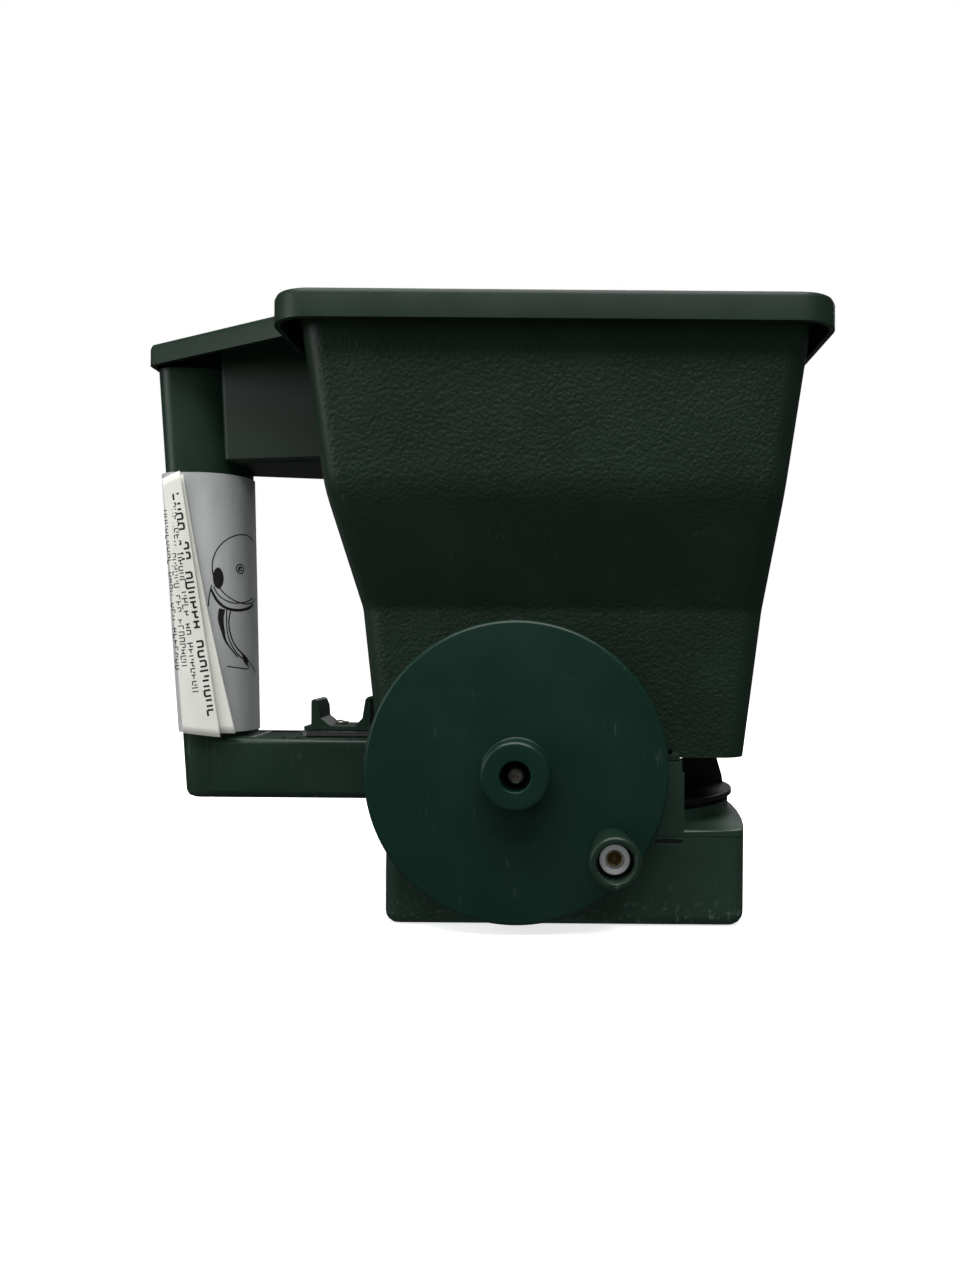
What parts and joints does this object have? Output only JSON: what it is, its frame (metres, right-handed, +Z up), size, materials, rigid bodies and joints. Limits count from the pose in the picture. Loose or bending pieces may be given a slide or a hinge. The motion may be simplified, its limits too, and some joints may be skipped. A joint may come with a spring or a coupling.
{
  "type": "hand-held crank broadcast spreader",
  "caption": "Hand-held crank spreader: open hopper on a geared base with a spinning impeller, a side crank wheel, a sliding flow gate and a rear grip under a flared neck.",
  "frame": {"origin": "middle of the underside of the base, on the surface it stands on", "axes": "+X towards the side the seed is thrown to, +Y away from the crank wheel's side, +Z up"},
  "size_m": [0.2651, 0.1811, 0.2278],
  "materials": {
    "moulded_green": "fine pebble grain",
    "wheel_green": "satin",
    "black_plastic": "fine satin",
    "bright_steel": "ground",
    "zinc_steel": "zinc plated",
    "bronze": "sintered bronze",
    "yellow_steel": "yellow passivated",
    "nylon": "smooth",
    "acetal": "smooth",
    "paper": "folded printed paper"
  },
  "bodies": {
    "frame": {"hopper": "moulded_green", "hopper_bush": "bronze", "deck_housing": "moulded_green", "base_tub": "moulded_green", "handle": "moulded_green", "crank_axle": "bright_steel", "crank_washer": "zinc_steel", "crank_screw": "zinc_steel", "outer_bush": "bronze", "inner_bush": "bronze", "deck_bush": "bronze", "gate_guide": "black_plastic", "guide_screw_1": "zinc_steel", "guide_screw_2": "zinc_steel", "hopper_screw_1": "zinc_steel", "hopper_screw_2": "zinc_steel", "hopper_screw_3": "zinc_steel", "hopper_screw_4": "zinc_steel", "base_screw_1": "zinc_steel", "base_screw_2": "zinc_steel", "base_screw_3": "zinc_steel", "base_screw_4": "zinc_steel", "arm_screw_1": "zinc_steel", "arm_screw_2": "zinc_steel", "handle_screw": "zinc_steel", "instruction_leaflet": "paper"},
    "crank": {"crank_wheel": "wheel_green", "crank_gear": "acetal", "knob_bush": "nylon", "knob_screw": "yellow_steel"},
    "knob": {"crank_knob": "wheel_green"},
    "countershaft": {"countershaft": "bright_steel", "drive_pinion": "acetal", "drive_bevel": "acetal"},
    "spinner": {"impeller_shaft": "bright_steel", "impeller_bevel": "acetal", "impeller": "black_plastic", "impeller_collar": "nylon", "agitator": "black_plastic"},
    "gate": {"gate_plate": "bright_steel", "flow_slider": "moulded_green", "slider_screw": "zinc_steel"}
  },
  "joints": [
    {"name": "crank_spin", "type": "hinge", "parent": "frame", "child": "crank", "pos_m": [-0.01235, -0.072, 0.05845], "axis": [0, 1, 0], "continuous": true},
    {"name": "knob_spin", "type": "hinge", "parent": "crank", "child": "knob", "pos_m": [0.02171, -0.084, 0.03196], "axis": [0, 1, 0], "continuous": true},
    {"name": "countershaft_spin", "type": "hinge", "parent": "frame", "child": "countershaft", "pos_m": [0.0295, 0, 0.01975], "axis": [0, 1, 0], "continuous": true},
    {"name": "impeller_spin", "type": "hinge", "parent": "frame", "child": "spinner", "pos_m": [0.0295, 0, 0.0422], "axis": [0, 0, 1], "continuous": true},
    {"name": "gate_slide", "type": "slide", "parent": "frame", "child": "gate", "axis": [-1, 0, 0], "range_m": [0, 0.018]}
  ],
  "couplings": [
    {"joint": "countershaft_spin", "follows": "crank_spin", "ratio": -4.4286},
    {"joint": "impeller_spin", "follows": "crank_spin", "ratio": -4.4286}
  ]
}
